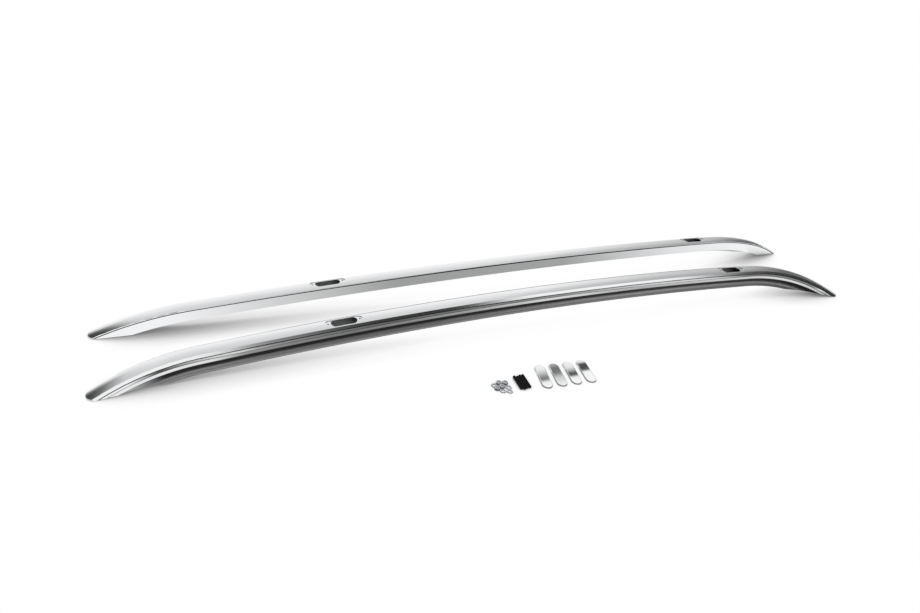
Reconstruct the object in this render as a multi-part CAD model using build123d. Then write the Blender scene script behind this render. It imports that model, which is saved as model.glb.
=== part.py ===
from build123d import *

import math
import os

# A pair of bowed aluminium side rails for a car roof, lying on the floor with their fitting kit.
# Millimetres, +Z up, +X along the rails.
# The rails' ribbed sides face away from each other, and the kit lies in front, at -Y.

# Bends of a rail: a long shallow crown, and a tighter bend down to each tip
crown_radius = 9753.0
crown_front_turn = 5.2
crown_rear_turn = 2.37
crown_lean = 21.0
front_bend_radius = 454.0
front_bend_turn = 23.3
front_bend_lean = 21.0
rear_bend_radius = 578.0
rear_bend_turn = 29.84
rear_bend_lean = 26.0
tip_height = 3.3
tip_overrun = 7.0
nose_radius = 19.0

# Straight trims under the two ends, so that each tip ends in a flat foot
front_trim_angle = 2.4
rear_trim_angle = 9.0

# Cross-section: the domed top
top_width = 30.6
dome_rise = 3.0
shoulder_radius = 1.6
wall = 2.5

# Cross-section: the ribbed side, from the shoulder down
band_height = 5.2
band_lean = 2.2
groove_height = 2.0
groove_depth = 1.6
rib_height = 4.2
rib_proud = 0.2
rib_lean = 0.6
fine_groove_height = 1.4
fine_groove_depth = 1.4
low_rib_height = 5.1
low_rib_proud = 0.8
low_rib_lean = 1.35
cove_depth = 5.4
cove_height = 20.9
flare_reach = 4.0
foot_height = 1.0

# Cross-section: the plain side, from the shoulder down
plain_lip_height = 2.0
shadow_gap_height = 2.2
shadow_gap_depth = 2.0
plain_wall_inset = 0.6
plain_wall_height = 22.8
plain_wall_taper = 3.7

# Cross-section: the closed chamber over the web that carries the studs
web_height = 15.0
web_thickness = 3.0

# Openings through the top, each with a shallow seat for its cover plate
front_opening_from_tip = 456.2
rear_opening_from_tip = 357.9
seat_length = 74.0
seat_width = 22.0
seat_depth = 1.5
seat_ledge_end = 11.0
seat_ledge_side = 1.0
opening_offset = 2.0
clip_hole_diameter = 3.6
clip_hole_from_end = 5.5
cover_clearance = 0.5

# Fitting kit: threaded studs, nuts and washers
stud_diameter = 6.0
stud_length = 40.0
stud_chamfer = 0.7
stud_hole_clearance = 0.3
nut_across_flats = 10.0
nut_height = 5.0
washer_diameter = 12.0
washer_thickness = 1.6
washer_hole_clearance = 0.2

# Lay-out of the pair and its kit on the floor
rail_spacing = 236.7
rail_stagger = 8.8
rail_toe = 0.55
first_cover = (-67.5, -130.0)
cover_step = (32.1, -2.0)
first_cover_angle = 77.0
cover_angle_step = 1.0
stud_row_middle = (-119.7, -136.5)
stud_row_angle = 85.3
stud_gap = 0.2
stud_slips = (0.0, -1.5, 1.0, 1.5)
nut_places = ((-165.8, -126.0, 10.0), (-153.8, -129.5, 25.0), (-164.8, -138.1, 40.0), (-176.5, -141.5, 15.0))
washer_places = ((-177.3, -129.4), (-168.0, -150.0), (-152.4, -142.5), (-155.6, -154.5))

# Values that follow from the sizes above
dome_radius = ((top_width / 2) ** 2 + dome_rise**2) / (2 * dome_rise)
slot_length = seat_length - 2 * seat_ledge_end
slot_width = seat_width - 2 * seat_ledge_side
cover_length = seat_length - 2 * cover_clearance
cover_width = seat_width - 2 * cover_clearance
stud_hole_radius = stud_diameter / 2 + stud_hole_clearance


class Bend:
    """One constant-radius stretch of a rail, which carries the section plane that it starts from."""

    def __init__(self, start: Plane, radius: float, lean: float):
        self.radius = radius
        self.lean = math.radians(lean)
        self.along = start.z_dir
        self.normal = start.y_dir * math.cos(self.lean) + start.x_dir * math.sin(self.lean)
        self.side = start.x_dir * math.cos(self.lean) - start.y_dir * math.sin(self.lean)
        self.centre = start.origin - self.normal * radius
        self.axis = Axis(self.centre, self.normal.cross(self.along))

    def plane(self, turn: float) -> Plane:
        """Section plane after a turn in degrees, with X across to the plain side and Y up."""
        angle = math.radians(turn)
        normal = self.normal * math.cos(angle) + self.along * math.sin(angle)
        along = self.along * math.cos(angle) - self.normal * math.sin(angle)
        across = normal * math.sin(self.lean) + self.side * math.cos(self.lean)
        return Plane(origin=self.centre + normal * self.radius, x_dir=across, z_dir=along)

    def turn_at(self, slope: float) -> float:
        """Turn in degrees at which the bend runs at a given rise per length along X."""
        rise = self.along.Z - slope * self.along.X
        return math.degrees(math.atan2(rise, self.normal.Z - slope * self.normal.X))

    def turn_along(self, length: float) -> float:
        """Turn in degrees over a given length of the bend."""
        return math.degrees(length / self.radius)


def bends_from(top: Plane) -> tuple[Bend, Bend, Bend]:
    """Front bend, crown and rear bend, from the section plane at the top of the crown."""
    crown = Bend(top, crown_radius, crown_lean)
    front = Bend(crown.plane(-crown_front_turn), front_bend_radius, front_bend_lean)
    rear = Bend(crown.plane(crown_rear_turn), rear_bend_radius, rear_bend_lean)
    return front, crown, rear


def bend_line() -> tuple[Bend, Bend, Bend]:
    """The three bends, with both tips of the ribbed shoulder at one height and halfway at X = 0."""
    front, _, rear = bends_from(Plane.YZ)
    front_tip = front.plane(-front_bend_turn).origin
    rear_tip = rear.plane(rear_bend_turn).origin
    tilt = math.atan2(front_tip.Z - rear_tip.Z, rear_tip.X - front_tip.X)
    level = Plane(origin=(0, 0, 0), x_dir=(0, 1, 0), z_dir=(math.cos(tilt), 0, math.sin(tilt)))
    front, _, rear = bends_from(level)
    front_tip = front.plane(-front_bend_turn).origin
    rear_tip = rear.plane(rear_bend_turn).origin
    level.origin = (-(front_tip.X + rear_tip.X) / 2, -front_tip.Y, tip_height - front_tip.Z)
    return bends_from(level)


front_bend, crown_bend, rear_bend = bend_line()
front_end_turn = -front_bend_turn - front_bend.turn_along(tip_overrun)
rear_end_turn = rear_bend_turn + rear_bend.turn_along(tip_overrun)


def dome_arc(inset: float, left: float, right: float) -> Edge:
    """Arc under the domed top, a given distance inside it, between two places across the section."""
    radius = dome_radius - inset
    middle = top_width / 2

    def level(place: float) -> float:
        return dome_rise - dome_radius + math.sqrt(radius**2 - (place - middle) ** 2)

    ends = ((left, level(left)), (middle, level(middle)), (right, level(right)))
    return ThreePointArc(*ends).edge()


def ribbed_side() -> list[Edge]:
    """Outer line of the ribbed side: band, groove, two sloping ribs, hollow cove that flares out, and foot."""
    face = -band_lean
    level = -band_height
    points = [(0, 0), (face, level), (face + groove_depth, level)]
    level -= groove_height
    points += [(face + groove_depth, level), (face - rib_proud + rib_lean, level)]
    level -= rib_height
    points += [(face - rib_proud, level), (face + fine_groove_depth, level)]
    level -= fine_groove_height
    low_rib = face - low_rib_proud
    points += [(face + fine_groove_depth, level), (low_rib + low_rib_lean, level)]
    level -= low_rib_height
    points.append((low_rib, level))
    cove_wall = low_rib + cove_depth
    flare = (cove_wall - flare_reach, level - cove_height)
    cove = ThreePointArc((low_rib, level), (cove_wall, level - cove_height / 2), flare)
    foot = (flare[0], flare[1] - foot_height)
    leg_inside = cove_wall + wall
    lower = [flare, foot, (leg_inside, foot[1]), (leg_inside, -web_height - web_thickness)]
    return [*Polyline(*points).edges(), cove.edge(), *Polyline(*lower).edges()]


def plain_side() -> list[Edge]:
    """Outer line of the plain side: lip, shadow gap, tapered wall and the inside of its leg."""
    level = -plain_lip_height - shadow_gap_height
    gap = top_width - shadow_gap_depth
    wall_top = top_width - plain_wall_inset
    wall_end = wall_top - plain_wall_taper
    slope = plain_wall_taper / plain_wall_height
    under_web = web_height + web_thickness + level
    points = [(top_width, 0), (top_width, -plain_lip_height), (gap, -plain_lip_height), (gap, level)]
    points += [(wall_top, level), (wall_end, level - plain_wall_height)]
    points += [(wall_end - wall, level - plain_wall_height)]
    points += [(wall_top - slope * under_web - wall, -web_height - web_thickness)]
    return [*Polyline(*points).edges()]


def rail_section() -> Sketch:
    """Section of the extrusion: a closed chamber under the domed top, over an open channel."""
    dome = dome_arc(0, 0, top_width)
    ribbed = ribbed_side()
    plain = plain_side()
    under_web = Line(ribbed[-1] @ 1, plain[-1] @ 1)
    outline = make_face([dome, *ribbed, *plain, under_web.edge()])
    shoulders = [outline.vertices().sort_by_distance(end)[0] for end in ((0, 0), (top_width, 0))]
    outline = fillet(shoulders, shoulder_radius)
    left = groove_depth - band_lean + wall
    right = top_width - shadow_gap_depth - wall
    roof = dome_arc(wall, left, right)
    floor = Polyline(roof @ 1, (right, -web_height), (left, -web_height), roof @ 0)
    chamber = make_face([roof, *floor.edges()])
    return outline - chamber


def bent_extrusion() -> Part:
    """The section carried round the three bends, running past both noses."""
    section = rail_section()
    stretches = (
        (front_bend, front_end_turn - front_bend.turn_along(nose_radius), 0.0),
        (crown_bend, -crown_front_turn, crown_rear_turn),
        (rear_bend, 0.0, rear_end_turn + rear_bend.turn_along(nose_radius)),
    )
    body = Part()
    for bend, first, last in stretches:
        body += revolve(bend.plane(first) * section, bend.axis, revolution_arc=last - first)
    return body


def end_trim(bend: Bend, tip: Plane, slope: float) -> Part:
    """Wedge under one end, as far as the place where the bend runs parallel to the cut."""
    inner = bend.plane(bend.turn_at(slope)).origin.X
    rise = slope * (inner - tip.origin.X)
    wedge = make_face(Polyline((tip.origin.X, 0), (inner, 0), (inner, rise), close=True))
    return extrude(Plane.XZ * wedge, amount=4 * top_width, both=True)


def nose_trim(tip: Plane, outward: int) -> Part:
    """Everything past the round nose of one end, in the section plane at the very end of the rail."""
    middle = tip.origin + tip.x_dir * (top_width - band_lean) / 2
    plan = Plane(origin=middle, x_dir=tip.x_dir, z_dir=-tip.y_dir * outward)
    beyond = Pos(0, nose_radius) * Rectangle(4 * nose_radius, 4 * nose_radius)
    beyond -= Pos(0, -nose_radius) * Circle(nose_radius)
    return extrude(plan * beyond, amount=2 * top_width, both=True)


def opening_planes() -> list[Plane]:
    """Plane over each opening: X along the rail, Z up, on the chord of the domed top."""
    front_length = math.radians(front_bend_turn) * front_bend_radius
    rear_length = math.radians(rear_bend_turn) * rear_bend_radius
    turns = (
        crown_bend.turn_along(front_opening_from_tip - front_length) - crown_front_turn,
        crown_rear_turn - crown_bend.turn_along(rear_opening_from_tip - rear_length),
    )
    planes = []
    for turn in turns:
        square = crown_bend.plane(turn)
        middle = square.origin + square.x_dir * (top_width / 2 - opening_offset)
        planes.append(Plane(origin=middle, x_dir=square.z_dir, z_dir=square.y_dir))
    return planes


def opening_cut() -> Part:
    """Cover seat, access slot, stud hole and clip holes, in the coordinates of the opening's plane."""
    above = 2 * dome_rise
    seat = extrude(SlotOverall(seat_length, seat_width), amount=above)
    seat += extrude(SlotOverall(seat_length, seat_width), amount=-dome_rise)
    under_seat = Cylinder(dome_radius - seat_depth, 2 * seat_length, rotation=(0, 90, 0))
    seat -= Pos(0, opening_offset, dome_rise - dome_radius) * under_seat
    half_chamber = Pos(0, 0, -web_height / 2)
    through_top = web_height / 2 + above
    slot = half_chamber * extrude(SlotOverall(slot_length, slot_width), amount=through_top)
    hole_depth = web_height + 2 * web_thickness
    stud_hole = Pos(0, 0, -hole_depth) * extrude(Circle(stud_hole_radius), amount=hole_depth)
    clip_hole = half_chamber * extrude(Circle(clip_hole_diameter / 2), amount=through_top)
    clip_reach = seat_length / 2 - clip_hole_from_end
    return seat + slot + stud_hole + Pos(clip_reach) * clip_hole + Pos(-clip_reach) * clip_hole


def rail() -> Part:
    """One finished rail along X, with its ribbed side at -Y and its feet on the floor."""
    body = split(bent_extrusion(), Plane.XY, keep=Keep.TOP)
    front_slope = math.tan(math.radians(front_trim_angle))
    rear_slope = -math.tan(math.radians(rear_trim_angle))
    body -= end_trim(front_bend, front_bend.plane(-front_bend_turn), front_slope)
    body -= end_trim(rear_bend, rear_bend.plane(rear_bend_turn), rear_slope)
    body -= nose_trim(front_bend.plane(front_end_turn), -1)
    body -= nose_trim(rear_bend.plane(rear_end_turn), 1)
    for plane in opening_planes():
        body -= plane * opening_cut()
    return body


def cover_plate() -> Part:
    """Round-ended cover, bowed across like the domed top, lying on its two long edges."""
    rod = Cylinder(dome_radius, cover_length, rotation=(0, 90, 0))
    bore = Cylinder(dome_radius - seat_depth, 2 * cover_length, rotation=(0, 90, 0))
    blank = extrude(SlotOverall(cover_length, cover_width), amount=dome_radius)
    plate = blank & (rod - bore)
    return Pos(0, 0, -plate.bounding_box().min.Z) * plate


def stud() -> Part:
    """Headless threaded stud lying along X on the floor, as its thread's envelope."""
    rod = Cylinder(stud_diameter / 2, stud_length, rotation=(0, 90, 0))
    rod = chamfer(rod.edges().filter_by(GeomType.CIRCLE), stud_chamfer)
    return Pos(0, 0, stud_diameter / 2) * rod


def nut() -> Part:
    """Hexagon nut standing on one face."""
    hexagon = RegularPolygon(nut_across_flats / 2, 6, major_radius=False)
    return extrude(hexagon - Circle(stud_diameter / 2), amount=nut_height)


def washer() -> Part:
    """Flat washer lying on the floor."""
    ring = Circle(washer_diameter / 2) - Circle(stud_diameter / 2 + washer_hole_clearance)
    return extrude(ring, amount=washer_thickness)


def lay_out() -> dict[str, Part]:
    """Every piece by name, where it lies on the floor."""
    one_rail = rail()
    other_rail = mirror(one_rail, about=Plane.XZ)
    pieces = {
        "near_rail": Rot(0, 0, -rail_toe) * one_rail,
        "far_rail": Pos(rail_stagger, rail_spacing, 0) * Rot(0, 0, rail_toe) * other_rail,
    }
    plate, rod, hexagon, ring = cover_plate(), stud(), nut(), washer()
    for i in range(4):
        place = Pos(first_cover[0] + i * cover_step[0], first_cover[1] + i * cover_step[1], 0)
        pieces[f"cover_{i + 1}"] = place * Rot(0, 0, first_cover_angle + i * cover_angle_step) * plate
    row = Pos(*stud_row_middle, 0) * Rot(0, 0, stud_row_angle)
    for i, slip in enumerate(stud_slips):
        side = (1.5 - i) * (stud_diameter + stud_gap)
        pieces[f"stud_{i + 1}"] = row * Pos(slip, side, 0) * rod
    for i, (x, y) in enumerate(washer_places):
        pieces[f"washer_{i + 1}"] = Pos(x, y, 0) * ring
    for i, (x, y, angle) in enumerate(nut_places):
        pieces[f"nut_{i + 1}"] = Pos(x, y, 0) * Rot(0, 0, angle) * hexagon
    return pieces


pieces = lay_out()
box = Compound(list(pieces.values())).bounding_box()
to_origin = Pos(-box.center().X, -box.center().Y, -box.min.Z)
os.makedirs("parts", exist_ok=True)
for name, piece in pieces.items():
    export_step(to_origin * piece, f"parts/{name}.step")
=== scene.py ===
import logging
import math
from dataclasses import dataclass, field
from enum import Enum
from typing import Callable, Optional, Sequence, Union

import bmesh
import bpy
from mathutils import Matrix, Vector


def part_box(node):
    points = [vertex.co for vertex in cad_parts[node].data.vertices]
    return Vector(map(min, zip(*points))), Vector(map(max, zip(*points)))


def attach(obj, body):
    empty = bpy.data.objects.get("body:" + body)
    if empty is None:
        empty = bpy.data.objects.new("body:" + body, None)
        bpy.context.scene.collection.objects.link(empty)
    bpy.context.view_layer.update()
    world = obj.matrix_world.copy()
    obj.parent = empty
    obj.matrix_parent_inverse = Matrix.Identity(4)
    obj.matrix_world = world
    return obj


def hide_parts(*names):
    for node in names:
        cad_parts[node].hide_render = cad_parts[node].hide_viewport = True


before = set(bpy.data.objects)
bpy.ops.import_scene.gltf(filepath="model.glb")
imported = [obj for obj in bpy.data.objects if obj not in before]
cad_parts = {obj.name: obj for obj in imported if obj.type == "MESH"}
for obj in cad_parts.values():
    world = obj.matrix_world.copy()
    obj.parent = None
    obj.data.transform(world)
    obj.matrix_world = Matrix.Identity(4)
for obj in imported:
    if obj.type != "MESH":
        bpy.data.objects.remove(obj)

LOG = logging.getLogger("roof_rails")
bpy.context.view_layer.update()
BODY = "root"
MM = 0.001
CREASE = 32.0
DETAIL = 3.0

Colour = tuple[float, float, float]
Point = tuple[float, float, float]
Stops = tuple[tuple[float, float], ...]
Row = Callable[[float], tuple[float, float]]
Operand = Union["Value", float]
Arrow = Union["Value", Vector, Point]
Shade = Union["Value", Colour]


class Value:
    """One output of a node. Arithmetic on it adds Math nodes to its tree."""

    def __init__(self, board: "Board", socket: bpy.types.NodeSocket) -> None:
        """Wraps a socket.

        Args:
            board: The node tree that the socket belongs to.
            socket: The output that the value stands for.
        """
        self.board = board
        self.socket = socket

    def math(self, operation: str, *operands: Operand) -> "Value":
        """Adds one Math node.

        Args:
            operation: The Math node's operation.
            operands: Its inputs in order.

        Returns:
            The result.
        """
        return self.board.value("ShaderNodeMath", 0, {"operation": operation}, dict(enumerate(operands)))

    def __add__(self, other: Operand) -> "Value":
        """The sum."""
        return self.math("ADD", self, other)

    def __radd__(self, other: Operand) -> "Value":
        """The sum, with a number on the left."""
        return self.math("ADD", other, self)

    def __sub__(self, other: Operand) -> "Value":
        """The difference."""
        return self.math("SUBTRACT", self, other)

    def __rsub__(self, other: Operand) -> "Value":
        """The difference from a number on the left."""
        return self.math("SUBTRACT", other, self)

    def __mul__(self, other: Operand) -> "Value":
        """The product."""
        return self.math("MULTIPLY", self, other)

    def __rmul__(self, other: Operand) -> "Value":
        """The product, with a number on the left."""
        return self.math("MULTIPLY", other, self)

    def __truediv__(self, other: Operand) -> "Value":
        """The quotient."""
        return self.math("DIVIDE", self, other)

    def __rtruediv__(self, other: Operand) -> "Value":
        """The quotient of a number on the left."""
        return self.math("DIVIDE", other, self)

    def __gt__(self, other: Operand) -> "Value":
        """1 where the value is larger, else 0."""
        return self.math("GREATER_THAN", self, other)

    def __lt__(self, other: Operand) -> "Value":
        """1 where the value is smaller, else 0."""
        return self.math("LESS_THAN", self, other)

    def least(self, other: Operand) -> "Value":
        """The smaller of two values."""
        return self.math("MINIMUM", self, other)

    def most(self, other: Operand) -> "Value":
        """The larger of two values."""
        return self.math("MAXIMUM", self, other)

    def root(self) -> "Value":
        """The square root."""
        return self.math("SQRT", self)

    def size(self) -> "Value":
        """The value without its sign."""
        return self.math("ABSOLUTE", self)

    def fraction(self) -> "Value":
        """What is left after the whole number."""
        return self.math("FRACT", self)

    def sine(self) -> "Value":
        """The sine."""
        return self.math("SINE", self)

    def cosine(self) -> "Value":
        """The cosine."""
        return self.math("COSINE", self)


class Board:
    """A node tree, with one method that adds any node."""

    def __init__(self, tree: bpy.types.NodeTree) -> None:
        """Wraps a tree and clears it.

        Args:
            tree: The tree to fill.
        """
        self.tree = tree
        self.tree.nodes.clear()

    @classmethod
    def of_material(cls, name: str) -> tuple[bpy.types.Material, "Board"]:
        """Makes an empty material.

        Args:
            name: The material's name.

        Returns:
            The material, and the board that fills it.
        """
        material = bpy.data.materials.new(name)
        material.use_nodes = True
        return material, cls(material.node_tree)

    def node(
        self, kind: str, settings: Optional[dict] = None, inputs: Optional[dict] = None
    ) -> bpy.types.Node:
        """Adds a node, sets it up and links it.

        Args:
            kind: The node's type.
            settings: Its properties, and the stops of a ramp as (place, grey level) pairs.
            inputs: Values, numbers or tuples for its inputs, or lists of values, by name or index.

        Returns:
            The node.
        """
        node = self.tree.nodes.new(kind)
        for name, setting in (settings or {}).items():
            if name == "stops":
                elements = node.color_ramp.elements
                while len(elements) < len(setting):
                    elements.new(0.5)
                for element, (place, level) in zip(elements, setting):
                    element.position = place
                    element.color = (level, level, level, 1.0)
            else:
                setattr(node, name, setting)
        for key, given in (inputs or {}).items():
            for one in given if isinstance(given, list) else [given]:
                if isinstance(one, Value):
                    self.tree.links.new(one.socket, node.inputs[key])
                else:
                    node.inputs[key].default_value = one
        return node

    def value(
        self,
        kind: str,
        output: Union[int, str] = 0,
        settings: Optional[dict] = None,
        inputs: Optional[dict] = None,
    ) -> Value:
        """Adds a node and returns one of its outputs.

        Args:
            kind: The node's type.
            output: The output's name or index.
            settings: As for node.
            inputs: As for node.

        Returns:
            The output.
        """
        return Value(self, self.node(kind, settings, inputs).outputs[output])

    def split(self, vector: Value) -> tuple[Value, Value, Value]:
        """The three parts of a vector."""
        outputs = self.node("ShaderNodeSeparateXYZ", inputs={0: vector}).outputs
        return Value(self, outputs[0]), Value(self, outputs[1]), Value(self, outputs[2])

    def vector(self, x: Operand, y: Operand, z: Operand) -> Value:
        """A vector from its three parts."""
        return self.value("ShaderNodeCombineXYZ", inputs={0: x, 1: y, 2: z})

    def arrow(self, operation: str, *inputs: Arrow) -> Value:
        """Adds one Vector Math node and returns its vector."""
        return self.value("ShaderNodeVectorMath", 0, {"operation": operation}, dict(enumerate(inputs)))

    def dot(self, first: Value, second: Arrow) -> Value:
        """How far one vector reaches along another."""
        return self.value("ShaderNodeVectorMath", 1, {"operation": "DOT_PRODUCT"}, {0: first, 1: second})

    def scaled(self, vector: Arrow, scale: Value) -> Value:
        """A vector times a value."""
        return self.value("ShaderNodeVectorMath", 0, {"operation": "SCALE"}, {0: vector, "Scale": scale})

    def between(self, share: Value, first: Value, second: Value) -> Value:
        """A vector between two others."""
        return self.value("ShaderNodeMix", 1, {"data_type": "VECTOR"}, {0: share, 4: first, 5: second})

    def noise(self, place: Value, scale: float, detail: float = 2.0) -> Value:
        """Smooth noise between 0 and 1 at a place."""
        return self.value("ShaderNodeTexNoise", 0, {}, {"Vector": place, "Scale": scale, "Detail": detail})

    def bump(self, height: Value, strength: float, depth: float, look: Optional[Value] = None) -> Value:
        """Fine relief.

        Args:
            height: The relief's height from 0 to 1.
            strength: How strongly it shows.
            depth: Its depth in millimetres.
            look: The way that the smooth surface looks, where that isn't the mesh's own.

        Returns:
            The way that the surface looks with its relief.
        """
        inputs = {"Strength": strength, "Distance": depth * MM, "Height": height}
        if look is not None:
            inputs["Normal"] = look
        return self.value("ShaderNodeBump", 0, {}, inputs)

    def ramp(self, given: Value, stops: Stops) -> Value:
        """A level that follows straight lines between stops.

        Args:
            given: The value to look up.
            stops: Places in rising order, each with its level from 0 to 1.

        Returns:
            The level.
        """
        low, span = stops[0][0], stops[-1][0] - stops[0][0]
        shares = [((place - low) / span, level) for place, level in stops]
        return self.value("ShaderNodeValToRGB", 0, {"stops": shares}, {0: (given - low) / span})

    def glow(
        self, output: str, light: str, level: Value, seen: Operand = 1.0, unseen: Optional[Value] = None
    ) -> None:
        """Ends the tree in white light of a level, for the rays that see it.

        Args:
            output: The type of the output node.
            light: The type of the light's shader.
            level: 0 for none, 1 for white.
            seen: 1 for the rays that see the light.
            unseen: The shader for the other rays.
        """
        white = (1.0, 1.0, 1.0, 1.0)
        off, on = (self.value(light, 0, {}, {"Color": white, "Strength": power}) for power in (0.0, 1.0))
        shader = self.value("ShaderNodeMixShader", 0, {}, {0: level, 1: off, 2: on})
        if unseen is not None:
            shader = self.value("ShaderNodeMixShader", 0, {}, {0: seen, 1: unseen, 2: shader})
        self.node(output, inputs={"Surface": shader})

    def blend(self, share: Operand, first: Shade, second: Shade) -> Value:
        """A colour between two others.

        Args:
            share: 0 for the first colour, 1 for the second.
            first: The first colour.
            second: The second colour.

        Returns:
            The mixed colour.
        """
        ends = [one if isinstance(one, Value) else (*one, 1.0) for one in (first, second)]
        return self.value("ShaderNodeMix", 2, {"data_type": "RGBA"}, {0: share, 6: ends[0], 7: ends[1]})


@dataclass(frozen=True)
class Finish:
    """A surface finish that makes its own material."""

    name: str
    tone: Colour

    def material(self) -> bpy.types.Material:
        """Makes the material.

        Returns:
            The material, with its nodes in place.
        """
        made, board = Board.of_material(self.name)
        shader = board.node("ShaderNodeBsdfPrincipled")
        self.paint(board, shader)
        board.node("ShaderNodeOutputMaterial", inputs={"Surface": Value(board, shader.outputs[0])})
        made.diffuse_color = (*self.tone, 1.0)
        return made

    def paint(self, board: Board, shader: bpy.types.Node) -> None:
        """Sets the shader's inputs.

        Args:
            board: The material's tree.
            shader: Its Principled shader.
        """
        raise NotImplementedError

    @staticmethod
    def feed(board: Board, shader: bpy.types.Node, **inputs: Operand) -> None:
        """Links or sets inputs of the shader.

        Args:
            board: The material's tree.
            shader: The shader.
            inputs: Values by input name, with underscores for spaces.
        """
        for name, given in inputs.items():
            socket = shader.inputs[name.replace("_", " ")]
            if isinstance(given, Value):
                board.tree.links.new(given.socket, socket)
            else:
                socket.default_value = given


@dataclass(frozen=True)
class Bend:
    """One constant-radius stretch of a rail, in the rail's own frame in millimetres."""

    radius: float
    lean: float
    centre: Point
    side: Point


@dataclass(frozen=True)
class Section:
    """Sizes of the section in millimetres: across from the ribbed shoulder, up from the dome's chord."""

    top_width: float = 30.6
    dome_rise: float = 3.0
    wall: float = 2.5
    chamber_left: float = 1.9
    chamber_right: float = 26.1
    web_top: float = -15.0
    web_bottom: float = -18.0
    leg_inside: float = 4.9
    plain_leg_inside: float = 28.19
    plain_leg_taper: float = 0.1623
    slack: float = 0.2
    near_arc: float = 0.6
    near_flat: float = 0.25
    dome_edge: float = -0.7
    cove_centre: tuple[float, float] = (-11.6, -28.35)
    cove_radius: float = 14.0
    cove_half_height: float = 10.45
    flats: tuple[tuple[tuple[float, float], tuple[float, float]], ...] = (
        ((0.0, 0.0), (-2.2, -5.2)),
        ((-1.8, -7.2), (-2.4, -11.4)),
        ((-1.65, -12.8), (-3.0, -17.9)),
        ((30.0, -4.2), (26.3, -27.0)),
    )
    recesses: tuple[tuple[float, float, float, float], ...] = (
        (-1.9, 0.5, -7.2, -5.2),
        (-1.6, 0.5, -12.8, -11.4),
        (27.5, 30.3, -4.2, -2.0),
    )

    @property
    def dome_radius(self) -> float:
        """Radius of the domed top."""
        return ((self.top_width / 2) ** 2 + self.dome_rise**2) / (2 * self.dome_rise)

    def from_dome_centre(self, across: Value, up: Value) -> tuple[Value, Value, Value]:
        """How far a place lies from the centre of the dome's arc: across, up and in all."""
        aside, above = across - self.top_width / 2, up - (self.dome_rise - self.dome_radius)
        return aside, above, (aside * aside + above * above).root()

    def hidden(self, across: Value, up: Value) -> Value:
        """Where the surface lies inside the chamber or the channel.

        Args:
            across: Place across the section.
            up: Place up the section.

        Returns:
            1 inside, 0 outside.
        """
        reach = self.from_dome_centre(across, up)[2]
        chamber = reach < self.dome_radius - self.wall + self.slack
        chamber = chamber * (across > self.chamber_left - self.slack)
        chamber = chamber * (across < self.chamber_right + self.slack)
        chamber = chamber * (up > self.web_top - self.slack)
        channel = (up < self.web_bottom + self.slack) * (across > self.leg_inside - self.slack)
        channel = channel * (across - up * self.plain_leg_taper < self.plain_leg_inside + self.slack)
        return chamber.most(channel)

    def facing(self, across: Value, up: Value) -> tuple[Value, Value, Value]:
        """Which way the outer faces look, in the section.

        Args:
            across: Place across the section.
            up: Place up the section.

        Returns:
            1 on the faces that it covers, and the two parts of the way that they look.
        """
        aside, above, reach = self.from_dome_centre(across, up)
        found = (reach > self.dome_radius - self.near_arc) * (up > self.dome_edge)
        look_across, look_up = aside / reach, above / reach
        for (left, top), (right, bottom) in self.flats:
            length = math.hypot(right - left, bottom - top)
            way = ((bottom - top) / length, (left - right) / length)
            if left > self.top_width / 2:
                way = (-way[0], -way[1])
            off = (across - left) * way[0] + (up - top) * way[1]
            inside = (off.size() < self.near_flat) * (up < top) * (up > bottom)
            found = found.most(inside)
            look_across = look_across + inside * (way[0] - look_across)
            look_up = look_up + inside * (way[1] - look_up)
        to_side, to_height = self.cove_centre[0] - across, self.cove_centre[1] - up
        cove_reach = (to_side * to_side + to_height * to_height).root()
        inside = (cove_reach - self.cove_radius).size() < self.near_arc
        inside = inside * (to_height.size() < self.cove_half_height) * (to_side < 0.0)
        look_across = look_across + inside * (to_side / cove_reach - look_across)
        look_up = look_up + inside * (to_height / cove_reach - look_up)
        return found.most(inside), look_across, look_up

    def in_cove(self, across: Value, up: Value) -> Value:
        """Where the surface lies in the hollow of the cove.

        Args:
            across: Place across the section.
            up: Place up the section.

        Returns:
            1 in the cove, 0 elsewhere.
        """
        level = (up - self.cove_centre[1]).size() < self.cove_half_height
        return level * (across < self.leg_inside - self.slack * 2)

    def recessed(self, across: Value, up: Value) -> Value:
        """Where the surface lies down in a groove or in the shadow gap.

        Args:
            across: Place across the section.
            up: Place up the section.

        Returns:
            1 in a recess, 0 elsewhere.
        """
        found = across * 0.0
        for left, right, bottom, top in self.recesses:
            inside = (across > left) * (across < right)
            inside = inside * (up > bottom - self.slack) * (up < top + self.slack)
            found = found.most(inside)
        return found


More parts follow.
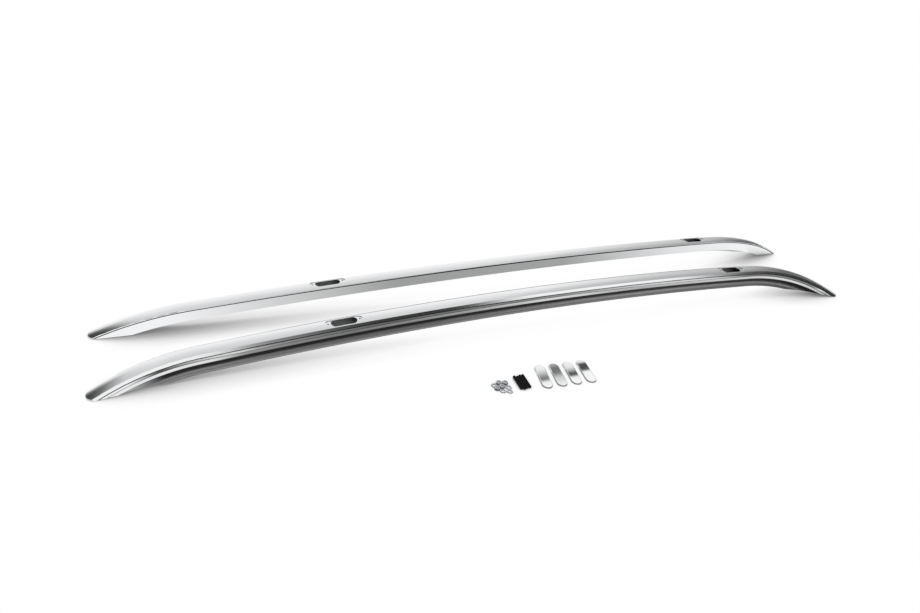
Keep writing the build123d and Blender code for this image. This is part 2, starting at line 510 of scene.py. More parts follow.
@dataclass(frozen=True)
class ExtrudedAluminium(Finish):
    """Polished extrusion: die lines follow its bends, its grooves and shadow gap are darkened with painted
    shade, its cove is satin and darkened with painted shade, and its inside has a mill finish.
    """

    place: Matrix = field(default_factory=Matrix)
    bends: tuple[Bend, ...] = ()
    joints: tuple[Point, ...] = ()
    tangents: tuple[Point, ...] = ()
    section: Section = Section()
    polish: float = 0.07
    unevenness: float = 0.03
    line_scale: float = 2.2
    line_stretch: float = 3.0
    line_strength: float = 0.05
    line_depth: float = 0.02
    haze_scale: float = 14.0
    haze_tone: float = 0.965
    mill_tone: Colour = (0.5, 0.505, 0.51)
    mill_roughness: float = 0.5
    # Painted shade: near-black base colour for the grooves and the shadow gap; their roughness is the real
    # unpolished finish.
    recess_painted_shade: Colour = (0.05, 0.05, 0.052)
    recess_roughness: float = 0.5
    # Painted shade: darker base colour for the cove's hollow, standing in for the dark that it mirrors; its
    # roughness is the real satin finish.
    cove_painted_shade: Colour = (0.42, 0.422, 0.43)
    cove_roughness: float = 0.34

    def section_place(
        self, board: Board, where: Value, bend: Bend
    ) -> tuple[Value, Value, Value, Value]:
        """Place in the section, as one bend carries it.

        Args:
            board: The material's tree.
            where: Object coordinates.
            bend: The bend.

        Returns:
            Millimetres across and up the section, and the directions of across and up.
        """
        centre = self.place @ (Vector(bend.centre) * MM)
        side = self.place.to_3x3() @ Vector(bend.side)
        arm = board.arrow("SUBTRACT", where, centre)
        along_axis = board.dot(arm, side)
        out_arm = board.arrow("SUBTRACT", arm, board.scaled(side, along_axis))
        outward = board.arrow("NORMALIZE", out_arm)
        out = board.dot(out_arm, outward) / MM - bend.radius
        aside = along_axis / MM
        sine, cosine = math.sin(math.radians(bend.lean)), math.cos(math.radians(bend.lean))
        across_way = board.arrow("MULTIPLY_ADD", outward, (sine, sine, sine), side * cosine)
        up_way = board.arrow("MULTIPLY_ADD", outward, (cosine, cosine, cosine), side * -sine)
        return out * sine + aside * cosine, out * cosine - aside * sine, across_way, up_way

    def past(self, board: Board, where: Value, joint: Point, tangent: Point) -> Value:
        """Where the rail has gone past the section plane between two bends.

        Args:
            board: The material's tree.
            where: Object coordinates.
            joint: A point of the plane.
            tangent: The rail's direction there.

        Returns:
            1 past the plane, 0 before it.
        """
        origin = self.place @ (Vector(joint) * MM)
        along = self.place.to_3x3() @ Vector(tangent)
        return board.dot(where, along) > origin.dot(along)

    def paint(self, board: Board, shader: bpy.types.Node) -> None:
        """Polish outside, painted shade in the grooves and the shadow gap, satin with painted shade in the
        cove, mill finish inside, and die lines along the rail.

        Args:
            board: The material's tree.
            shader: Its Principled shader.
        """
        where = board.value("ShaderNodeTexCoord", "Object")
        across, up, across_way, up_way = self.section_place(board, where, self.bends[0])
        for bend, joint, tangent in zip(self.bends[1:], self.joints, self.tangents):
            later = self.past(board, where, joint, tangent)
            next_across, next_up, next_across_way, next_up_way = self.section_place(board, where, bend)
            across = across + later * (next_across - across)
            up = up + later * (next_up - up)
            across_way = board.between(later, across_way, next_across_way)
            up_way = board.between(later, up_way, next_up_way)
        along = board.split(where)[0]
        lines = board.noise(board.vector(across, up, along * self.line_stretch), self.line_scale, DETAIL)
        haze = board.noise(where, self.haze_scale, DETAIL)
        hidden = self.section.hidden(across, up)
        recess = self.section.recessed(across, up)
        cove = self.section.in_cove(across, up)
        polished = board.blend(haze, self.tone, tuple(self.haze_tone * part for part in self.tone))
        # Painted shade: the grooves and the shadow gap get a near-black base colour, standing in for the
        # shade in them.
        polished = board.blend(recess, polished, self.recess_painted_shade)
        # Painted shade: the cove's base colour is darkened, standing in for the dark that the hollow mirrors.
        polished = board.blend(cove, polished, self.cove_painted_shade)
        roughness = self.polish + self.unevenness * haze + self.unevenness * lines
        roughness = roughness + recess * (self.recess_roughness - roughness)
        roughness = roughness + cove * (self.cove_roughness - roughness)
        known, look_across, look_up = self.section.facing(across, up)
        look = board.arrow("ADD", board.scaled(across_way, look_across), board.scaled(up_way, look_up))
        look = board.between(known, board.value("ShaderNodeNewGeometry", "Normal"), look)
        self.feed(
            board,
            shader,
            Base_Color=board.blend(hidden, polished, self.mill_tone),
            Roughness=roughness + hidden * (self.mill_roughness - roughness),
            Metallic=1.0,
            Normal=board.bump(lines, self.line_strength, self.line_depth, look),
        )


@dataclass(frozen=True)
class MirrorPolish(Finish):
    """Buffed cover plate, with hairlines along its length."""

    heading: float = 78.5
    polish: float = 0.05
    hair_stretch: Point = (60.0, 4000.0, 4000.0)
    hair_strength: float = 0.04
    hair_depth: float = 0.01
    hair_dulling: float = 0.03
    smear_scale: float = 90.0
    smear_tone: float = 0.96
    smear_dulling: float = 0.04

    def paint(self, board: Board, shader: bpy.types.Node) -> None:
        """Near-mirror metal with hairlines and faint smears.

        Args:
            board: The material's tree.
            shader: Its Principled shader.
        """
        where = board.value("ShaderNodeTexCoord", "Object")
        turn = (0.0, 0.0, -math.radians(self.heading))
        turned = board.value("ShaderNodeMapping", 0, {}, {"Vector": where, "Rotation": turn})
        hairs = board.noise(board.arrow("MULTIPLY", turned, self.hair_stretch), 1.0)
        smears = board.noise(where, self.smear_scale)
        self.feed(
            board,
            shader,
            Base_Color=board.blend(smears, self.tone, tuple(self.smear_tone * part for part in self.tone)),
            Roughness=self.polish + self.smear_dulling * smears + self.hair_dulling * hairs,
            Metallic=1.0,
            Normal=board.bump(hairs, self.hair_strength, self.hair_depth),
        )


@dataclass(frozen=True)
class BlackOxide(Finish):
    """Blackened steel thread, worn a little paler along its crests."""

    worn_tone: Colour = (0.075, 0.074, 0.072)
    dullness: float = 0.52
    patch_scale: float = 700.0
    patch_gain: float = 1.6
    patch_floor: float = 0.4
    patch_shine: float = 0.14
    grain_scale: float = 6000.0
    grain_strength: float = 0.15
    grain_depth: float = 0.03
    wear_from: float = 0.75
    wear_shine: float = 0.1

    def paint(self, board: Board, shader: bpy.types.Node) -> None:
        """Oily black with worn crests.

        Args:
            board: The material's tree.
            shader: Its Principled shader.
        """
        where = board.value("ShaderNodeTexCoord", "Object")
        crest = board.value("ShaderNodeAttribute", "Fac", {"attribute_name": "crest"})
        patches = board.noise(where, self.patch_scale, DETAIL)
        grain = board.noise(where, self.grain_scale)
        worn_crest = ((crest - self.wear_from) / (1.0 - self.wear_from)).most(0.0)
        wear = worn_crest * (patches * self.patch_gain - self.patch_floor).most(0.0).least(1.0)
        self.feed(
            board,
            shader,
            Base_Color=board.blend(wear, self.tone, self.worn_tone),
            Roughness=self.dullness - self.patch_shine * patches - self.wear_shine * wear,
            Metallic=0.0,
            Normal=board.bump(grain, self.grain_strength, self.grain_depth),
        )


@dataclass(frozen=True)
class BrightZinc(Finish):
    """Zinc plate with a faint blue passivation and cloudy patches."""

    tint: Colour = (0.62, 0.66, 0.72)
    polish: float = 0.2
    cloud_scale: float = 350.0
    cloud_dulling: float = 0.14
    grain_scale: float = 5000.0
    grain_strength: float = 0.1
    grain_depth: float = 0.02

    def paint(self, board: Board, shader: bpy.types.Node) -> None:
        """Bright plate with cloudy patches and fine grain.

        Args:
            board: The material's tree.
            shader: Its Principled shader.
        """
        where = board.value("ShaderNodeTexCoord", "Object")
        clouds = board.noise(where, self.cloud_scale, DETAIL)
        grain = board.noise(where, self.grain_scale)
        self.feed(
            board,
            shader,
            Base_Color=board.blend(clouds, self.tone, self.tint),
            Roughness=self.polish + self.cloud_dulling * clouds,
            Metallic=1.0,
            Normal=board.bump(grain, self.grain_strength, self.grain_depth),
        )


class Slot(Enum):
    """The record's material slots, one named by each kind of new piece."""

    COVER = "cover"
    STUD = "stud"
    FASTENER = "fastener"


@dataclass(frozen=True)
class Footprint:
    """Where a CAD node lies on the floor."""

    centre: Vector
    heading: float

    @staticmethod
    def spokes(node: str) -> tuple[Vector, list[Vector]]:
        """Middle of a node's box, and the ways from there to its vertices.

        Args:
            node: The CAD node.

        Returns:
            The middle and the ways.
        """
        low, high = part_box(node)
        centre = (low + high) / 2
        return centre, [vertex.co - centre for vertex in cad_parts[node].data.vertices]

    @classmethod
    def of_rod(cls, node: str) -> "Footprint":
        """Middle of a lying rod's box, and the direction of its length.

        Args:
            node: The CAD node.

        Returns:
            Its footprint.
        """
        centre, arms = cls.spokes(node)
        xx = sum(arm.x * arm.x for arm in arms)
        yy = sum(arm.y * arm.y for arm in arms)
        xy = sum(arm.x * arm.y for arm in arms)
        return cls(centre, math.atan2(2 * xy, xx - yy) / 2)

    @classmethod
    def of_hexagon(cls, node: str) -> "Footprint":
        """Middle of a nut's box, and the direction of one corner.

        Args:
            node: The CAD node.

        Returns:
            Its footprint.
        """
        centre, arms = cls.spokes(node)
        corner = max(arms, key=lambda arm: arm.x * arm.x + arm.y * arm.y)
        return cls(centre, math.atan2(corner.y, corner.x))

    def matrix(self) -> Matrix:
        """Carries a mesh made round the origin to this place."""
        return Matrix.Translation(self.centre) @ Matrix.Rotation(self.heading, 4, "Z")


def settle(name: str, mesh: bpy.types.Mesh, place: Footprint, node: str) -> None:
    """Puts a finished mesh in the place of its CAD node.

    Args:
        name: The piece's name.
        mesh: A mesh made round the origin.
        place: Where it goes.
        node: The CAD node that it stands for.
    """
    mesh.transform(place.matrix())
    mesh.shade_smooth()
    mesh.set_sharp_from_angle(angle=math.radians(CREASE))
    piece = bpy.data.objects.new(name, mesh)
    bpy.context.scene.collection.objects.link(piece)
    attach(piece, BODY)
    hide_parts(node)
    LOG.info("%s stands for %s, %d faces", name, node, len(mesh.polygons))


def dress(node: str, material: bpy.types.Material) -> None:
    """Gives a CAD node its material.

    Args:
        node: The CAD node.
        material: The material for all its slots.
    """
    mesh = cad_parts[node].data
    for index in range(len(mesh.materials)):
        mesh.materials[index] = material
    LOG.info("%s wears %s", node, material.name)


def face_outwards(mesh: bpy.types.Mesh) -> None:
    """Turns the faces of a closed mesh outwards.

    Args:
        mesh: The mesh.
    """
    work = bmesh.new()
    work.from_mesh(mesh)
    bmesh.ops.recalc_face_normals(work, faces=work.faces)
    work.to_mesh(mesh)
    work.free()


def ring_mesh(name: str, rows: Sequence[Row], columns: int) -> bpy.types.Mesh:
    """Closed ring swept round the Z axis.

    Args:
        name: The mesh's name.
        rows: For each line round the ring, its radius and height at a turn from 0 to 1.
        columns: Steps round the ring.

    Returns:
        The mesh.
    """
    mesh = bpy.data.meshes.new(name)
    points = []
    for row in rows:
        for column in range(columns):
            radius, height = row(column / columns)
            angle = 2 * math.pi * column / columns
            points.append((radius * math.cos(angle), radius * math.sin(angle), height))
    faces = []
    for row in range(len(rows)):
        first, above = row * columns, (row + 1) % len(rows) * columns
        for column in range(columns):
            aside = (column + 1) % columns
            faces.append((first + column, first + aside, above + aside, above + column))
    mesh.from_pydata(points, [], faces)
    face_outwards(mesh)
    return mesh


@dataclass
class Rails:
    """The two mirror-image rails."""

    toe: float = 0.55
    near_offset: Point = (-4.98936, -40.69181, 0.0)
    far_offset: Point = (3.81064, 196.00819, 0.0)
    bends: tuple[Bend, ...] = (
        Bend(454.0, 21.0, (-656.705, -142.983, -369.106), (0.000126, 0.93358, -0.358368)),
        Bend(9753.0, 21.0, (189.133, -3461.731, -9014.444), (0.000126, 0.93358, -0.358368)),
        Bend(578.0, 26.0, (565.612, -222.76, -435.933), (-0.00345, 0.898821, -0.438303)),
    )
    joints: tuple[Point, ...] = ((-697.999, 19.045, 52.98), (589.221, 30.440, 83.119))
    tangents: tuple[Point, ...] = ((0.995854, 0.032481, 0.084964), (0.999157, -0.014820, -0.038254))
    tone: Colour = (0.9, 0.905, 0.915)

    def finish(self, name: str, offset: Point, mirrored: bool) -> ExtrudedAluminium:
        """The finish of one rail.

        Args:
            name: The material's name.
            offset: Where the rail's own origin lies.
            mirrored: True for the rail that is the other's mirror image.

        Returns:
            The finish, with its die lines along that rail.
        """
        turn = Matrix.Rotation(math.radians(self.toe if mirrored else -self.toe), 4, "Z")
        flip = Matrix.Diagonal((1.0, -1.0 if mirrored else 1.0, 1.0, 1.0))
        place = Matrix.Translation(Vector(offset) * MM) @ turn @ flip
        return ExtrudedAluminium(
            name, self.tone, place=place, bends=self.bends, joints=self.joints, tangents=self.tangents
        )

    def build(self) -> None:
        """Dresses both CAD rails."""
        dress("near_rail", self.finish("near_rail_metal", self.near_offset, False).material())
        dress("far_rail", self.finish("far_rail_metal", self.far_offset, True).material())


@dataclass
class Kit:
    """Loose pieces of one kind, each in the place of its CAD node."""

    kind: str
    prefix: str
    slot: Slot
    finish: Finish
    count: int = 4

    def mesh(self, material: bpy.types.Material) -> bpy.types.Mesh:
        """One piece round the origin, from the middle of its height.

        Args:
            material: Its material.

        Returns:
            A plain, closed mesh.
        """
        raise NotImplementedError

    def node(self, number: int) -> str:
        """The CAD node of one piece, by its number from 1."""
        return f"{self.kind}_{number}"

    def place(self, number: int) -> Footprint:
        """Where one piece goes, by its number from 1."""
        raise NotImplementedError

    def build(self) -> None:
        """Makes the pieces in the places of their CAD nodes."""
        material = self.finish.material()
        for number in range(1, self.count + 1):
            mesh, node = self.mesh(material), self.node(number)
            settle(f"{self.prefix}_{node}", mesh, self.place(number), node)


@dataclass
class Covers(Kit):
    """The four pressed cover plates on the floor, flat on top, with rolled edges and open below."""

    kind: str = "cover"
    prefix: str = "pressed"
    slot: Slot = Slot.COVER
    finish: Finish = MirrorPolish("cover_polish", (0.93, 0.935, 0.94))
    length: float = 73.0
    width: float = 21.0
    height: float = 2.94
    wall: float = 1.5
    roll: float = 0.9
    roll_steps: int = 5
    rim: float = 0.4
    end_steps: int = 24
    first_heading: float = 77.0
    heading_step: float = 1.0

    def outline(self, inset: float, height: float) -> list[Point]:
        """A round-ended outline of the plate.

        Args:
            inset: How far it lies inside the plate's edge.
            height: Its height.

        Returns:
            The outline's points in order.
        """
        straight, radius = (self.length - self.width) / 2, self.width / 2 - inset
        points = []
        for way in (1.0, -1.0):
            for step in range(self.end_steps + 1):
                angle = math.pi * (step / self.end_steps - 0.5)
                along, aside = straight + radius * math.cos(angle), radius * math.sin(angle)
                points.append((way * along, way * aside, height))
        return points

    def mesh(self, material: bpy.types.Material) -> bpy.types.Mesh:
        """One plate round the origin, from the middle of its height.

        Args:
            material: Its material.

        Returns:
            A plain, closed mesh.
        """
        half = self.height / 2
        rings = [(self.roll + self.rim, half)]
        for step in range(self.roll_steps + 1):
            angle = math.pi / 2 * step / self.roll_steps
            rings.append((self.roll * (1 - math.sin(angle)), half - self.roll * (1 - math.cos(angle))))
        rings += [(0.0, -half), (self.wall, -half), (self.wall, half - self.wall)]
        points = [point for inset, height in rings for point in self.outline(inset, height)]
        columns = len(points) // len(rings)
        faces = [tuple(range(columns)), tuple(range(len(points) - columns, len(points)))]
        for first in range(0, len(points) - columns, columns):
            for column in range(columns):
                near, aside = first + column, first + (column + 1) % columns
                faces.append((near, near + columns, aside + columns, aside))
        mesh = bpy.data.meshes.new("cover")
        mesh.from_pydata(points, [], faces)
        face_outwards(mesh)
        mesh.transform(Matrix.Scale(MM, 4))
        mesh.materials.append(material)
        return mesh

    def place(self, number: int) -> Footprint:
        """The place of one CAD cover, with its heading."""
        heading = math.radians(self.first_heading + (number - 1) * self.heading_step)
        return Footprint(Footprint.spokes(self.node(number))[0], heading)


@dataclass
class Studs(Kit):
    """The four threaded studs, each a helical thread grown by Geometry Nodes."""

    kind: str = "stud"
    prefix: str = "threaded"
    slot: Slot = Slot.STUD
    finish: Finish = BlackOxide("stud_black", (0.012, 0.012, 0.013))
    tree_name: str = "stud_thread"
    diameter: float = 6.0
    length: float = 40.0
    pitch: float = 1.0
    chamfer: float = 0.7
    depth_share: float = 0.6134
    root_flat: float = 0.25
    flank_slope: float = 1.6
    weld: float = 0.004
    columns: int = 24
    rows_per_turn: int = 8

    def thread_tree(self) -> bpy.types.GeometryNodeTree:
        """Grows a closed threaded rod along X.

        Returns:
            The tree, with named inputs for its sizes.
        """
        tree = bpy.data.node_groups.new(self.tree_name, "GeometryNodeTree")
        board = Board(tree)
        tree.interface.new_socket("Geometry", in_out="OUTPUT", socket_type="NodeSocketGeometry")
        for name in ("Diameter", "Length", "Pitch", "Chamfer"):
            tree.interface.new_socket(name, in_out="INPUT", socket_type="NodeSocketFloat")
        for name in ("Rows", "Columns"):
            tree.interface.new_socket(name, in_out="INPUT", socket_type="NodeSocketInt")
        tree.interface.new_socket("Material", in_out="INPUT", socket_type="NodeSocketMaterial")
        given = board.node("NodeGroupInput")
        sizes = {socket.name: Value(board, socket) for socket in given.outputs if socket.name}
        pitch, half_length = sizes["Pitch"], sizes["Length"] / 2
        depth = pitch * self.depth_share
        core = sizes["Diameter"] / 2 - depth
        end_radius = (sizes["Diameter"] / 2 - sizes["Chamfer"]).least(core)
        span = sizes["Length"] + 2 * pitch
        sheet = board.value(
            "GeometryNodeMeshGrid",
            "Mesh",
            {},
            {"Size X": span, "Size Y": 1.0, "Vertices X": sizes["Rows"], "Vertices Y": sizes["Columns"] + 1},
        )
        place = board.value("GeometryNodeInputPosition", 0)
        along, turn, _ = board.split(place)
        ridge = (((along + span / 2) / pitch).fraction() - 0.5).size() * 2
        ridge = ((ridge - self.root_flat) * self.flank_slope).most(0.0).least(1.0)
        along = (along + turn * pitch).most(half_length * -1.0).least(half_length)
        radius = (core + ridge * depth).least(end_radius + half_length - along.size())
        angle = turn * (2 * math.pi)
        wound = board.vector(along, radius * angle.cosine(), radius * angle.sine())
        thread = board.value("GeometryNodeSetPosition", 0, {}, {"Geometry": sheet, "Position": wound})
        _, aside, up = board.split(place)
        crest = (((aside * aside + up * up).root() - core) / depth).most(0.0)
        thread = board.value(
            "GeometryNodeStoreNamedAttribute",
            0,
            {"data_type": "FLOAT", "domain": "POINT"},
            {"Geometry": thread, "Name": "crest", "Value": crest},
        )
        disc = board.value(
            "GeometryNodeMeshCircle",
            0,
            {"fill_type": "NGON"},
            {"Vertices": sizes["Columns"], "Radius": end_radius},
        )
        flat_x, flat_y, _ = board.split(place)
        ends = []
        for way in (-1.0, 1.0):
            stood = board.vector(half_length * way, flat_x * -1.0, flat_y * -1.0)
            end = board.value("GeometryNodeSetPosition", 0, {}, {"Geometry": disc, "Position": stood})
            ends.append(end if way > 0 else board.value("GeometryNodeFlipFaces", 0, {}, {"Mesh": end}))
        whole = board.value("GeometryNodeJoinGeometry", 0, {}, {"Geometry": [thread, *ends]})
        whole = board.value(
            "GeometryNodeMergeByDistance", 0, {}, {"Geometry": whole, "Distance": self.weld * MM}
        )
        whole = board.value("GeometryNodeRealizeInstances", 0, {}, {"Geometry": whole})
        whole = board.value(
            "GeometryNodeSetMaterial", 0, {}, {"Geometry": whole, "Material": sizes["Material"]}
        )
        board.node("NodeGroupOutput", inputs={"Geometry": whole})
        return tree

    def mesh(self, material: bpy.types.Material) -> bpy.types.Mesh:
        """One stud round the origin, from the middle of its height.

        Args:
            material: Its material.

        Returns:
            A plain, closed mesh.
        """
        tree = bpy.data.node_groups.get(self.tree_name) or self.thread_tree()
        rod = bpy.data.objects.new("stud_blank", bpy.data.meshes.new("stud_blank"))
        bpy.context.scene.collection.objects.link(rod)
        modifier = rod.modifiers.new("thread", "NODES")
        modifier.node_group = tree
        sizes = {
            "Diameter": self.diameter * MM,
            "Length": self.length * MM,
            "Pitch": self.pitch * MM,
            "Chamfer": self.chamfer * MM,
            "Rows": int(self.rows_per_turn * (self.length / self.pitch + 2)) + 1,
            "Columns": self.columns,
            "Material": material,
        }
        for item in tree.interface.items_tree:
            if item.in_out == "INPUT":
                modifier[item.identifier] = sizes[item.name]
        graph = bpy.context.evaluated_depsgraph_get()
        mesh = bpy.data.meshes.new_from_object(rod.evaluated_get(graph))
        rod.modifiers.remove(modifier)
        bpy.data.objects.remove(rod)
        face_outwards(mesh)
        return mesh

    def place(self, number: int) -> Footprint:
        """The place of one CAD stud."""
        return Footprint.of_rod(self.node(number))


@dataclass
class Nuts(Kit):
    """The four hexagon nuts, with turned corners and an inner thread."""

    kind: str = "nut"
    prefix: str = "turned"
    slot: Slot = Slot.FASTENER
    finish: Finish = BrightZinc("nut_zinc", (0.74, 0.745, 0.75))
    across_flats: float = 10.0
    height: float = 5.0
    thread_diameter: float = 6.0
    pitch: float = 1.0
    depth_share: float = 0.5413
    mouth_edge: float = 0.1
    face_share: float = 0.95
    cone_angle: float = 30.0
    columns: int = 72
    rows_per_turn: int = 8

    @property
    def face_radius(self) -> float:
        """Radius of the flat ring on each face."""
        return self.face_share * self.across_flats / 2

    def corner_drop(self, radius: float) -> float:
        """How far the turned cone has come down at a radius."""
        return max(0.0, radius - self.face_radius) * math.tan(math.radians(self.cone_angle))

    def hexagon(self, turn: float) -> float:
        """Radius of the hexagon at a turn, with a corner at 0."""
        from_flat = (turn * 360.0) % 60.0 - 30.0
        return self.across_flats / 2 / math.cos(math.radians(from_flat))

    def thread_row(self, height: float) -> Row:
        """A line round the inner thread.

        Args:
            height: The line's height.

        Returns:
            Its radius and height, by the turn.
        """
        deep, outer = self.depth_share * self.pitch, self.thread_diameter / 2
        mouth = outer - min(height, self.height - height) + self.mouth_edge

        def row(turn: float) -> tuple[float, float]:
            """Radius and height of the thread at a turn."""
            ridge = abs((height / self.pitch - turn) % 1.0 - 0.5) * 2
            return max(outer - deep * ridge, mouth), height

        return row

    def face_row(self, share: float, upper: bool) -> Row:
        """A line round one of the two faces.

        Args:
            share: 0 for the edge of its flat ring, 1 for the hexagon's edge.
            upper: True for the upper face.

        Returns:
            Its radius and height, by the turn.
        """
        level, way = (self.height, -1.0) if upper else (0.0, 1.0)

        def row(turn: float) -> tuple[float, float]:
            """Radius and height of the face at a turn."""
            radius = self.face_radius + share * (self.hexagon(turn) - self.face_radius)
            return radius, level + way * self.corner_drop(radius)

        return row

    def mesh(self, material: bpy.types.Material) -> bpy.types.Mesh:
        """One nut round the origin, from the middle of its height.

        Args:
            material: Its material.

        Returns:
            A plain, closed mesh.
        """
        steps = int(self.rows_per_turn * self.height / self.pitch)
        rows = [self.thread_row(self.height * step / steps) for step in range(steps + 1)]
        rows += [self.face_row(share, True) for share in (0.0, 0.5, 1.0)]
        rows += [self.face_row(share, False) for share in (1.0, 0.5, 0.0)]
        mesh = ring_mesh("nut", rows, self.columns)
        mesh.transform(Matrix.Scale(MM, 4) @ Matrix.Translation((0.0, 0.0, -self.height / 2)))
        mesh.materials.append(material)
        return mesh

    def place(self, number: int) -> Footprint:
        """The place of one CAD nut."""
        return Footprint.of_hexagon(self.node(number))


@dataclass
class Washers(Kit):
    """The four punched washers, with rounded upper edges and sharp lower edges."""

    kind: str = "washer"
    prefix: str = "punched"
    slot: Slot = Slot.FASTENER
    finish: Finish = BrightZinc("washer_zinc", (0.78, 0.785, 0.79))
    diameter: float = 12.0
    hole: float = 6.4
    thickness: float = 1.6
    roll: float = 0.35
    roll_steps: int = 4
    columns: int = 64

    def mesh(self, material: bpy.types.Material) -> bpy.types.Mesh:
        """One washer round the origin, from the middle of its thickness.

        Args:
            material: Its material.

        Returns:
            A plain, closed mesh.
        """
        half = self.thickness / 2
        profile = [(self.hole / 2, -half)]
        for step in range(self.roll_steps + 1):
            angle = math.pi / 2 * step / self.roll_steps
            inner = self.hole / 2 + self.roll * (1 - math.cos(angle))
            profile.append((inner, half - self.roll * (1 - math.sin(angle))))
        for step in range(self.roll_steps + 1):
            angle = math.pi / 2 * step / self.roll_steps
            outer = self.diameter / 2 - self.roll * (1 - math.sin(angle))
            profile.append((outer, half - self.roll * (1 - math.cos(angle))))
        profile.append((self.diameter / 2, -half))
        rows = [lambda turn, point=point: point for point in profile]
        mesh = ring_mesh("washer", rows, self.columns)
        mesh.transform(Matrix.Scale(MM, 4))
        mesh.materials.append(material)
        return mesh

    def place(self, number: int) -> Footprint:
        """The place of one CAD washer."""
        return Footprint.of_rod(self.node(number))


def put_up(
    name: str, corners: Sequence[Point], material: bpy.types.Material, only_mirrored: bool = False
) -> None:
    """Puts a flat panel in the studio.

    Args:
        name: The panel's name.
        corners: Its four corners.
        material: Its material.
        only_mirrored: True for a panel that shows in polished metal and nowhere else.
    """
    mesh = bpy.data.meshes.new(name)
    mesh.from_pydata(corners, [], [(0, 1, 2, 3)])
    mesh.materials.append(material)
    panel = bpy.data.objects.new(name, mesh)
    bpy.context.scene.collection.objects.link(panel)
    if only_mirrored:
        for ray in ("camera", "diffuse", "transmission", "volume_scatter", "shadow"):
            setattr(panel, f"visible_{ray}", False)


@dataclass(frozen=True)
class Card:
    """Card on the floor that only the metal mirrors, dark inside and white at its outer edges."""

    name: str
    along: Stops
    aside: Stops
    height: float = 0.2

    def build(self) -> None:
        """Lays the card."""
        left, right, front, back = (end[place][0] for end in (self.along, self.aside) for place in (0, -1))
        corners = ((left, front), (right, front), (right, back), (left, back))
        material, board = Board.of_material(self.name)
        x, y, _ = board.split(board.value("ShaderNodeTexCoord", "Object"))
        level = 1.0 - board.ramp(x, self.along) * board.ramp(y, self.aside)
        board.glow("ShaderNodeOutputMaterial", "ShaderNodeEmission", level)
        put_up(self.name, [(*corner, self.height * MM) for corner in corners], material, only_mirrored=True)


@dataclass(frozen=True)
class Strip:
    """White strip with a dark band, which stands behind one cover, leans sideways, and only mirrors show."""

    name: str
    foot: float
    lean: float
    levels: Stops
    foot_height: float = 0.05
    half_width: float = 0.0165
    back: float = -0.08

    def build(self) -> None:
        """Stands the strip up, with its painted side towards the covers."""
        low, high = self.levels[0][0], self.levels[-1][0]
        bottom, top = (self.foot + self.lean * (height - self.foot_height) for height in (low, high))
        corners = (
            (bottom - self.half_width, self.back, low),
            (bottom + self.half_width, self.back, low),
            (top + self.half_width, self.back, high),
            (top - self.half_width, self.back, high),
        )
        material, board = Board.of_material(self.name)
        height = board.split(board.value("ShaderNodeTexCoord", "Object"))[2]
        faced = 1.0 - board.value("ShaderNodeNewGeometry", "Backfacing")
        clear = board.value("ShaderNodeBsdfTransparent")
        level = board.ramp(height, self.levels)
        board.glow("ShaderNodeOutputMaterial", "ShaderNodeEmission", level, faced, clear)
        put_up(self.name, corners, material, only_mirrored=True)


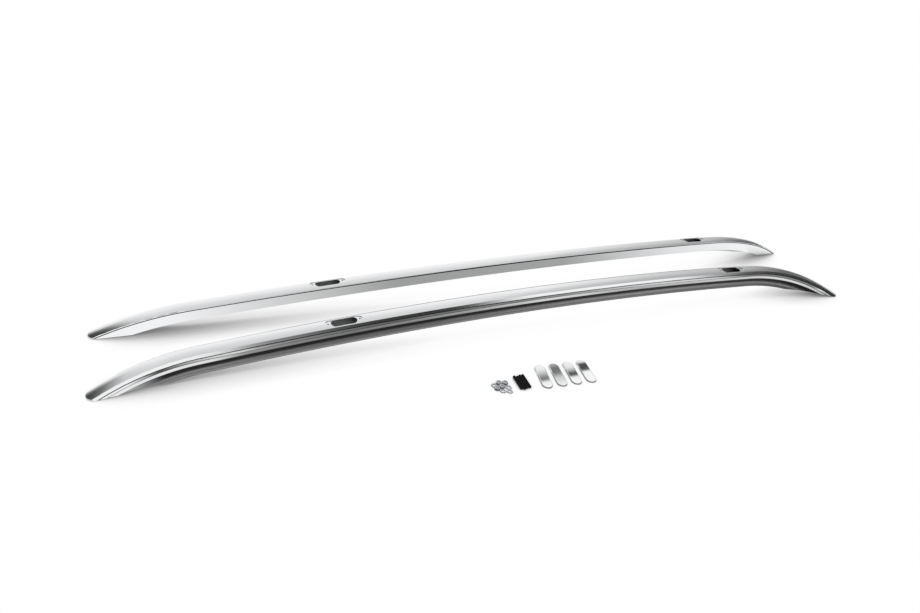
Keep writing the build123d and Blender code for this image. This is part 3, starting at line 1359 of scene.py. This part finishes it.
@dataclass
class Studio:
    """White floor, a room, cards and strips that the metal mirrors, one soft lamp and the camera."""

    floor_size: float = 24.0
    floor_tone: float = 0.9
    shadow_reach: float = 0.065
    shadow_samples: int = 16
    shadow: Stops = ((0.0, 0.1), (0.5, 0.4), (0.75, 0.8), (0.93, 1.0), (1.0, 1.0))
    room_front: Stops = (
        (-0.6, 0.05), (-0.3, 0.1), (-0.08, 1.0), (0.07, 1.0), (0.12, 0.3), (0.25, 0.05), (0.4, 0.03),
        (0.46, 1.0), (0.63, 1.0), (0.69, 0.03),
    )
    room_front_low: Stops = ((-0.2, 1.0), (0.24, 1.0), (0.34, 0.15), (0.45, 0.0))
    room_front_high: Stops = ((0.3, 0.0), (0.5, 0.3), (0.65, 0.6), (1.0, 0.75))
    room_back: Stops = (
        (-1.0, 0.55), (-0.85, 0.1), (-0.58, 0.06), (-0.5, 0.2), (-0.36, 0.82), (-0.2, 1.0), (0.5, 1.0),
        (0.72, 0.55), (0.86, 0.17), (0.91, 0.17), (1.0, 0.45),
    )
    room_back_up: Stops = ((0.0, 1.0), (0.55, 0.92), (0.9, 0.74), (1.0, 0.68))
    room_turn: Stops = ((-0.45, 0.0), (0.1, 1.0))
    overhead_from: float = 0.5
    overhead_shift: float = 0.3
    cards: tuple[Card, ...] = (
        Card(
            "front_card",
            (
                (-0.95, 0.0), (-0.64, 0.2), (-0.57, 0.8), (-0.26, 0.95), (0.2, 0.8), (0.5, 0.3), (0.68, 0.3),
                (0.8, 0.92), (1.8, 0.0),
            ),
            ((-1.5, 0.0), (-0.9, 0.85), (-0.35, 0.87), (-0.1, 0.97), (0.0, 0.97)),
        ),
        Card(
            "far_card",
            ((-0.7, 0.0), (-0.35, 0.9), (0.9, 0.9), (1.6, 0.0)),
            ((-6.0, 0.0), (-4.0, 0.92), (-0.95, 0.92), (-0.8, 0.0)),
            0.1,
        ),
        Card(
            "side_card",
            ((-0.82, 0.0), (-0.76, 0.98), (0.84, 0.98), (0.9, 0.0)),
            ((-0.16, 0.0), (-0.12, 0.96), (-0.09, 1.0), (0.0, 1.0)),
            0.4,
        ),
        Card(
            "middle_card",
            ((-1.0, 0.0), (-0.75, 0.0), (-0.25, 0.62), (0.2, 0.6), (0.55, 0.15), (0.8, 0.0)),
            ((0.0, 0.9), (0.03, 1.0), (0.2, 1.0), (0.26, 0.0)),
        ),
    )
    strips: tuple[Strip, ...] = (
        Strip(
            "cover_strip_1",
            -0.0239,
            0.589,
            ((0.045, 1.0), (0.062, 0.9), (0.087, 0.18), (0.093, 0.2), (0.1, 1.0), (0.12, 1.0)),
        ),
        Strip(
            "cover_strip_2",
            0.0097,
            0.648,
            ((0.045, 0.6), (0.065, 0.18), (0.079, 0.2), (0.092, 0.65), (0.12, 1.0)),
        ),
        Strip(
            "cover_strip_3",
            0.0433,
            0.705,
            ((0.045, 1.0), (0.07, 0.85), (0.087, 0.07), (0.094, 0.05), (0.1, 1.0), (0.125, 1.0)),
        ),
        Strip(
            "cover_strip_4",
            0.0755,
            0.763,
            ((0.045, 1.0), (0.06, 0.9), (0.065, 0.07), (0.0855, 0.05), (0.0875, 1.0), (0.13, 1.0)),
        ),
    )
    lamp_strength: float = 1.0
    lamp_spread: float = 60.0
    lamp_from: Point = (-0.15, 0.35, 1.0)
    eye: Point = (-0.81671, -1.17455, 0.8742)
    right: Point = (0.90769, -0.40143, 0.1225)
    up: Point = (0.1136, 0.5157, 0.8492)
    ahead: Point = (0.4041, 0.7569, -0.5137)
    sensor: float = 36.0
    focal_pixels: float = 761.6
    image_width: float = 920.0

    def floor(self) -> None:
        """Lays the floor: white to the camera and in the metal, with soft shadows round what stands on it."""
        half = self.floor_size / 2
        corners = ((-half, -half, 0.0), (half, -half, 0.0), (half, half, 0.0), (-half, half, 0.0))
        material, board = Board.of_material("floor_paper")
        path = board.node("ShaderNodeLightPath").outputs
        seen = Value(board, path["Is Camera Ray"])
        for ray in ("Is Glossy Ray", "Is Transmission Ray"):
            seen = seen.most(Value(board, path[ray]))
        settings, reach = {"samples": self.shadow_samples}, {"Distance": self.shadow_reach}
        open_sky = board.value("ShaderNodeAmbientOcclusion", "AO", settings, reach)
        paper = board.value("ShaderNodeBsdfDiffuse", 0, {}, {"Color": (*[self.floor_tone] * 3, 1.0)})
        level = board.ramp(open_sky, self.shadow)
        board.glow("ShaderNodeOutputMaterial", "ShaderNodeEmission", level, seen, paper)
        put_up("floor", corners, material)

    def room(self) -> None:
        """Lights the room: white to the camera, and with pale and dark sides to everything else."""
        world = bpy.data.worlds.new("room")
        bpy.context.scene.world = world
        world.use_nodes = True
        board = Board(world.node_tree)
        x, y, z = board.split(board.value("ShaderNodeTexCoord", "Generated"))
        front = board.ramp(x, self.room_front) * board.ramp(z, self.room_front_low)
        front = front + board.ramp(z, self.room_front_high)
        shifted = x + (z - self.overhead_from).most(0.0) * self.overhead_shift
        back = board.ramp(shifted, self.room_back) * board.ramp(z, self.room_back_up)
        level = front + board.ramp(y, self.room_turn) * (back - front)
        seen = board.value("ShaderNodeLightPath", "Is Camera Ray")
        board.glow("ShaderNodeOutputWorld", "ShaderNodeBackground", level + seen * (1.0 - level))

    def lamp(self) -> None:
        """Hangs the soft lamp, which the metal doesn't mirror."""
        light = bpy.data.lights.new("soft_lamp", "SUN")
        light.energy = self.lamp_strength
        light.angle = math.radians(self.lamp_spread)
        hung = bpy.data.objects.new("soft_lamp", light)
        hung.rotation_euler = Vector(self.lamp_from).to_track_quat("Z", "Y").to_euler()
        hung.visible_glossy = False
        bpy.context.scene.collection.objects.link(hung)

    def camera(self) -> None:
        """Sets up the camera at the photograph's viewing angle."""
        lens = bpy.data.cameras.new("camera")
        lens.sensor_width = self.sensor
        lens.lens = self.sensor * self.focal_pixels / self.image_width
        stand = bpy.data.objects.new("camera", lens)
        turn = Matrix((self.right, self.up, -Vector(self.ahead))).transposed().to_4x4()
        stand.matrix_world = Matrix.Translation(self.eye) @ turn
        bpy.context.scene.collection.objects.link(stand)
        bpy.context.scene.camera = stand
        bpy.context.scene.view_settings.view_transform = "Standard"

    def build(self) -> None:
        """Sets up everything that isn't part of the object."""
        self.camera()
        self.floor()
        for card in (*self.cards, *self.strips):
            card.build()
        self.room()
        self.lamp()


def main() -> None:
    """Builds the object's looks and the studio."""
    logging.basicConfig(level=logging.INFO)
    for group in (Studio(), Rails(), Covers(), Studs(), Nuts(), Washers()):
        group.build()


if __name__ == "__main__":
    main()
